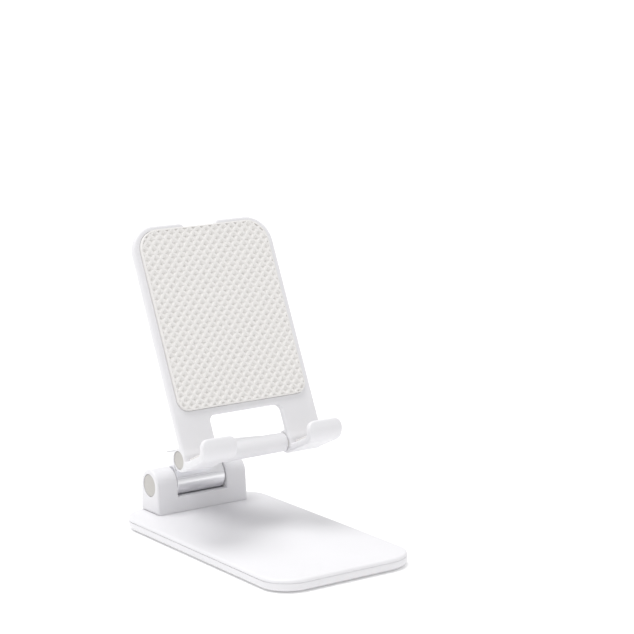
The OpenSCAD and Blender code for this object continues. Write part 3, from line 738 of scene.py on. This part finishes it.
def hook_line(y, z, centre, radius, root, tip):
    """Distance to the middle line of a hook: out along its floor, round its bend, up its tongue."""
    floor = segment_field(y, z, (root, centre[1] - radius), (centre[0], centre[1] - radius))
    turn = np.abs(np.hypot(y - centre[0], z - centre[1]) - radius)
    turn = np.where((y <= centre[0]) & (z <= centre[1]), turn, 1.0)
    tongue = segment_field(y, z, (centre[0] - radius, centre[1]), (centre[0] - radius, tip))
    return np.minimum(np.minimum(floor, turn), tongue)


class STAND_OT_cradle(Piece, bpy.types.Operator):
    """Builds the cradle: plate, hinge lugs and hooks in one moulding"""

    bl_idname = "stand.cradle"
    bl_label = "Cradle"

    def build(self, scene):
        sizes, pad = scene.stand_cradle, scene.stand_pad
        low, high = local_box("cradle", AT_CRADLE)
        half, top = high[0], high[2]
        lug, reach = high[1], -low[1]
        front, back = -sizes.plate_front, sizes.plate - sizes.plate_front
        inner = half - sizes.hook_width
        hook = sizes.hook / 2
        centre = (sizes.hook_bend - reach, sizes.hook_bend - lug)

        def plate(x, y, z):
            face = rect_field(x, z, (-half, -3 * half), (half, top), sizes.corner)
            face = both(face, -z)
            window = rect_field(x, z, (-inner, -half), (inner, sizes.window_height), sizes.window_corner)
            slope = (np.abs(x) - sizes.notch_width / 2 + (top - z)) * math.sqrt(0.5)
            notch = both(slope, top - sizes.notch_depth - z, NOTCH_FOOT_ROUND)
            face = both(both(face, -window, WINDOW_ROUND), -notch, NOTCH_ROUND)
            return both(face, slab(y, front, back), sizes.fillet)

        def column(x, y, z):
            """One hook with its lug. Both sides are the same, so x is measured from the middle."""
            x = np.abs(x)
            outline = rect_field(x, z, (inner, -half), (half, sizes.hook_tip), sizes.hook_corner)
            line = hook_line(y, z, centre, sizes.hook_bend - hook, 0, sizes.hook_tip - hook)
            hook_solid = both(line - hook, outline, sizes.fillet)
            lug_solid = both(np.hypot(y, z) - lug, slab(x, inner, half), sizes.fillet)
            return either(hook_solid, lug_solid, LUG_BLEND)

        def field(x, y, z):
            joined = either(plate(x, y, z), column(x, y, z), COLUMN_BLEND)
            return np.maximum(joined, np.abs(x) - half)

        cradle = mesh_of("cradle_shell", field, low, high, sizes.step, AT_CRADLE)
        recess = prism("recess", pad_outline(pad, pad.gap), front - OVERCUT, front + pad.recess,
                       AT_CRADLE, normal="Y")
        combine(cradle, recess, "DIFFERENCE")
        for side in (-1, 1):
            node = "upper_cap_left" if side < 0 else "upper_cap_right"
            radius = local_box(node, AT_CRADLE)[1][2] + CRADLE_CAP_GAP
            ends = sorted((side * (half + OVERCUT), side * (half - CRADLE_SEAT_DEPTH)))
            seat = rod("seat", radius, *ends, AT_CRADLE)
            combine(cradle, seat, "DIFFERENCE")
        bore = rod("bore", PIN_BORE, -half - OVERCUT, half + OVERCUT, AT_CRADLE)
        combine(cradle, bore, "DIFFERENCE")
        shade(cradle, 40)
        settle(cradle, "cradle", ["cradle"], shell_finish(self.finish))


# ---- Back pad: a slab with a field of diamonds from Geometry Nodes ----


def pit_tree():
    """Staggered rows of low pyramids on the XZ plane, tips towards +Y, to be cut out of a pad."""
    tree = bpy.data.node_groups.new("diamond_field", "GeometryNodeTree")
    face = tree.interface
    face.new_socket("Geometry", in_out="INPUT", socket_type="NodeSocketGeometry")
    for name in ("Pitch", "Row", "Depth", "Ridge"):
        face.new_socket(name, in_out="INPUT", socket_type="NodeSocketFloat")
    for name in ("Columns", "Rows"):
        face.new_socket(name, in_out="INPUT", socket_type="NodeSocketInt")
    face.new_socket("Material", in_out="INPUT", socket_type="NodeSocketMaterial")
    face.new_socket("Geometry", in_out="OUTPUT", socket_type="NodeSocketGeometry")
    nodes, links = tree.nodes, tree.links
    given, made = nodes.new("NodeGroupInput"), nodes.new("NodeGroupOutput")

    def maths(operation, a, b):
        node = nodes.new("ShaderNodeMath")
        node.operation = operation
        for socket, value in zip(node.inputs, (a, b)):
            if isinstance(value, (int, float)):
                socket.default_value = value
            else:
                links.new(value, socket)
        return node.outputs[0]

    def vector(x=0.0, y=0.0, z=0.0):
        node = nodes.new("ShaderNodeCombineXYZ")
        for socket, value in zip(node.inputs, (x, y, z)):
            if isinstance(value, (int, float)):
                socket.default_value = value
            else:
                links.new(value, socket)
        return node.outputs[0]

    # One point for each diamond: the index gives its row and its place in the row
    count = maths("MULTIPLY", given.outputs["Columns"], given.outputs["Rows"])
    line = nodes.new("GeometryNodeMeshLine")
    links.new(count, line.inputs["Count"])
    index = nodes.new("GeometryNodeInputIndex").outputs[0]
    row = maths("FLOOR", maths("DIVIDE", maths("ADD", index, 0.5), given.outputs["Columns"]), 0)
    column = maths("SUBTRACT", index, maths("MULTIPLY", row, given.outputs["Columns"]))
    stagger = maths("MULTIPLY", maths("MODULO", row, 2), 0.5)
    from_middle = maths("DIVIDE", maths("SUBTRACT", given.outputs["Columns"], 1), 2)
    across = maths("MULTIPLY", maths("SUBTRACT", maths("ADD", column, stagger), from_middle),
                   given.outputs["Pitch"])
    from_half = maths("DIVIDE", maths("SUBTRACT", given.outputs["Rows"], 1), 2)
    up = maths("MULTIPLY", maths("SUBTRACT", row, from_half), given.outputs["Row"])
    spread = nodes.new("GeometryNodeSetPosition")
    links.new(line.outputs["Mesh"], spread.inputs["Geometry"])
    links.new(vector(across, 0.0, up), spread.inputs["Position"])
    # The diamond: a four-sided cone, laid backwards and stretched to the pitch and two rows
    cone = nodes.new("GeometryNodeMeshCone")
    cone.fill_type = "NGON"
    cone.inputs["Vertices"].default_value = 4
    cone.inputs["Radius Bottom"].default_value = 1.0
    cone.inputs["Radius Top"].default_value = 0.16
    cone.inputs["Depth"].default_value = 1.0
    width = maths("SUBTRACT", maths("DIVIDE", given.outputs["Pitch"], 2), given.outputs["Ridge"])
    height = maths("SUBTRACT", given.outputs["Row"], given.outputs["Ridge"])
    stretch = nodes.new("GeometryNodeTransform")
    links.new(cone.outputs["Mesh"], stretch.inputs["Geometry"])
    links.new(vector(width, height, given.outputs["Depth"]), stretch.inputs["Scale"])
    lay = nodes.new("GeometryNodeTransform")
    lay.inputs["Rotation"].default_value = (-math.pi / 2, 0, 0)
    links.new(stretch.outputs[0], lay.inputs["Geometry"])
    place = nodes.new("GeometryNodeInstanceOnPoints")
    links.new(spread.outputs[0], place.inputs["Points"])
    links.new(lay.outputs[0], place.inputs["Instance"])
    realize = nodes.new("GeometryNodeRealizeInstances")
    links.new(place.outputs[0], realize.inputs[0])
    paint = nodes.new("GeometryNodeSetMaterial")
    links.new(realize.outputs[0], paint.inputs["Geometry"])
    links.new(given.outputs["Material"], paint.inputs["Material"])
    links.new(paint.outputs[0], made.inputs[0])
    return tree


def with_nodes(name, tree, values):
    """Runs a node tree with values by name, and returns its result as a plain piece."""
    piece = bpy.data.objects.new(name, bpy.data.meshes.new(name))
    bpy.context.scene.collection.objects.link(piece)
    step = piece.modifiers.new(name, "NODES")
    step.node_group = tree
    for item in tree.interface.items_tree:
        if item.in_out == "INPUT" and item.name in values:
            step[item.identifier] = values[item.name]
    return baked(piece)


class STAND_OT_back_pad(Piece, bpy.types.Operator):
    """Builds the silicone back pad and its hollow diamonds"""

    bl_idname = "stand.back_pad"
    bl_label = "Back Pad"

    def build(self, scene):
        sizes = scene.stand_pad
        finish = silicone_finish(self.finish)
        low, high = local_box("cradle_pad", AT_CRADLE)
        pad = prism("back_pad", pad_outline(sizes), low[1], high[1], AT_CRADLE, sizes.fillet, 0.0, "Y")
        columns = int((high[0] - low[0]) / sizes.pitch) + 3
        rows = int((high[2] - low[2]) / sizes.row) + 3
        pits = with_nodes("diamonds", pit_tree(), {
            "Pitch": sizes.pitch, "Row": sizes.row, "Depth": sizes.pit,
            "Ridge": sizes.ridge, "Columns": columns, "Rows": rows, "Material": finish})
        middle = Vector(((low[0] + high[0]) / 2, low[1] - 0.01 * MM, (low[2] + high[2]) / 2))
        pits.data.transform(AT_CRADLE @ Matrix.Translation(middle))
        keep = prism("keep", pad_outline(sizes, -sizes.border), low[1] - OVERCUT, high[1],
                     AT_CRADLE, normal="Y")
        combine(pits, keep, "INTERSECT")
        combine(pad, pits, "DIFFERENCE")
        shade(pad, 20)
        settle(pad, "cradle", ["cradle_pad"], finish)


class STAND_OT_hook_strips(Piece, bpy.types.Operator):
    """Builds the silicone strips that line the hooks"""

    bl_idname = "stand.hook_strips"
    bl_label = "Hook Strips"

    def build(self, scene):
        sizes = scene.stand_cradle
        cradle_low = local_box("cradle", AT_CRADLE)[0]
        centre = (cradle_low[1] + sizes.hook_bend, cradle_low[2] + sizes.hook_bend)
        half = sizes.strip / 2
        for node in ("hook_strip_left", "hook_strip_right"):
            low, high = local_box(node, AT_CRADLE)

            def field(x, y, z):
                line = hook_line(y, z, centre, centre[0] - low[1] - half, high[1] - half, high[2] - half)
                front = rect_field(x, z, (low[0], -high[0] + low[0]), (high[0], high[2]),
                                   sizes.strip_corner)
                return both(line - half, front, sizes.strip_fillet)

            strip = mesh_of(node + "_skin", field, low, high, sizes.strip_step, AT_CRADLE)
            shade(strip, 40)
            settle(strip, "cradle", [node], silicone_finish(self.finish))


HARDWARE = {
    "base_weight": steel_finish,
    "block_screws": steel_finish,
    "tray_screws": steel_finish,
    "lower_shaft": steel_finish,
    "lower_disc_springs": steel_finish,
    "lower_nut": steel_finish,
    "stop_screws": steel_finish,
    "leaf_spring": steel_finish,
    "upper_shaft": steel_finish,
    "upper_disc_springs": steel_finish,
    "upper_nut": steel_finish,
    "stem_bushes": bronze_finish,
    "head_bushes": bronze_finish,
    "lower_friction_washers": polymer_finish,
    "upper_friction_washers": polymer_finish,
    "sleeve_glide": polymer_finish,
}


class STAND_OT_hardware(Piece, bpy.types.Operator):
    """Gives the shafts, springs, nuts, screws and bushes their finishes"""

    bl_idname = "stand.hardware"
    bl_label = "Hardware"

    def build(self, scene):
        for node, finish in HARDWARE.items():
            part = frame["nodes"][node]
            part.data.materials.clear()
            part.data.materials.append(finish(self.finish))


# ---- Stage ----


class STAND_OT_stage(Piece, bpy.types.Operator):
    """Sets up the floor, the light and the camera"""

    bl_idname = "stand.stage"
    bl_label = "Stage"

    def build(self, scene):
        sizes = scene.stand_stage
        self.floor(sizes.glow)
        self.light(scene, sizes)
        self.camera(scene, sizes)
        scene.view_settings.view_transform = "Standard"

    def floor(self, glow):
        """A pale light table, which keeps the shadow under the base soft"""
        reach = 30
        plane = new_object("floor", [(-reach, -reach, 0), (reach, -reach, 0), (reach, reach, 0),
                                     (-reach, reach, 0)], [(0, 1, 2, 3)])
        finish = material("pale_floor", (0.93, 0.93, 0.93), 0.9, tint=0.004)
        shader = finish.node_tree.nodes["Principled BSDF"]
        shader.inputs["Emission Color"].default_value = (1, 1, 1, 1)
        shader.inputs["Emission Strength"].default_value = glow
        plane.data.materials.append(finish)

    def light(self, scene, sizes):
        world = bpy.data.worlds.new("studio")
        world.use_nodes = True
        world.node_tree.nodes["Background"].inputs["Color"].default_value = (1, 1, 1, 1)
        world.node_tree.nodes["Background"].inputs["Strength"].default_value = sizes.dome
        scene.world = world
        lamp = bpy.data.lights.new("key", "SUN")
        lamp.angle = sizes.key_spread
        lamp.energy = sizes.key
        lamp_object = bpy.data.objects.new("key", lamp)
        lamp_object.rotation_euler = Vector((0.2, -0.15, -1)).to_track_quat("-Z", "Y").to_euler()
        scene.collection.objects.link(lamp_object)

    def camera(self, scene, sizes):
        view = bpy.data.cameras.new("camera")
        view.sensor_width = 36
        view.lens = sizes.lens
        view.clip_start, view.clip_end = 0.05, 100
        camera = bpy.data.objects.new("camera", view)
        a, e = sizes.azimuth, sizes.elevation
        back = Vector((math.sin(a) * math.cos(e), -math.cos(a) * math.cos(e), math.sin(e)))
        right = Vector((math.cos(a), math.sin(a), 0))
        turn = Matrix((right, back.cross(right), back)).transposed().to_4x4()
        camera.matrix_world = (Matrix.Translation(Vector(sizes.aim) + back * sizes.distance)
                               @ turn @ Matrix.Rotation(sizes.roll, 4, "Z"))
        scene.collection.objects.link(camera)
        scene.camera = camera


PIECES = (
    STAND_OT_base,
    STAND_OT_foot_pad,
    STAND_OT_hinge_block,
    STAND_OT_end_caps,
    STAND_OT_stem,
    STAND_OT_sleeve,
    STAND_OT_cradle,
    STAND_OT_back_pad,
    STAND_OT_hook_strips,
    STAND_OT_hardware,
    STAND_OT_stage,
)


class STAND_PT_pieces(bpy.types.Panel):
    """Lists the pieces of the stand"""

    bl_label = "Phone Stand"
    bl_idname = "STAND_PT_pieces"
    bl_space_type = "VIEW_3D"
    bl_region_type = "UI"
    bl_category = "Stand"

    def draw(self, context):
        column = self.layout.column()
        for piece in PIECES:
            column.operator(piece.bl_idname)


CLASSES = (*GROUPS.values(), *PIECES, STAND_PT_pieces)


def register():
    for cls in CLASSES:
        bpy.utils.register_class(cls)
    for name, group in GROUPS.items():
        setattr(bpy.types.Scene, name, PointerProperty(type=group))


def unregister():
    for name in GROUPS:
        delattr(bpy.types.Scene, name)
    for cls in reversed(CLASSES):
        bpy.utils.unregister_class(cls)


def main():
    register()
    for piece in PIECES:
        getattr(bpy.ops.stand, piece.bl_idname.split(".")[1])()


if __name__ == "__main__":
    main()
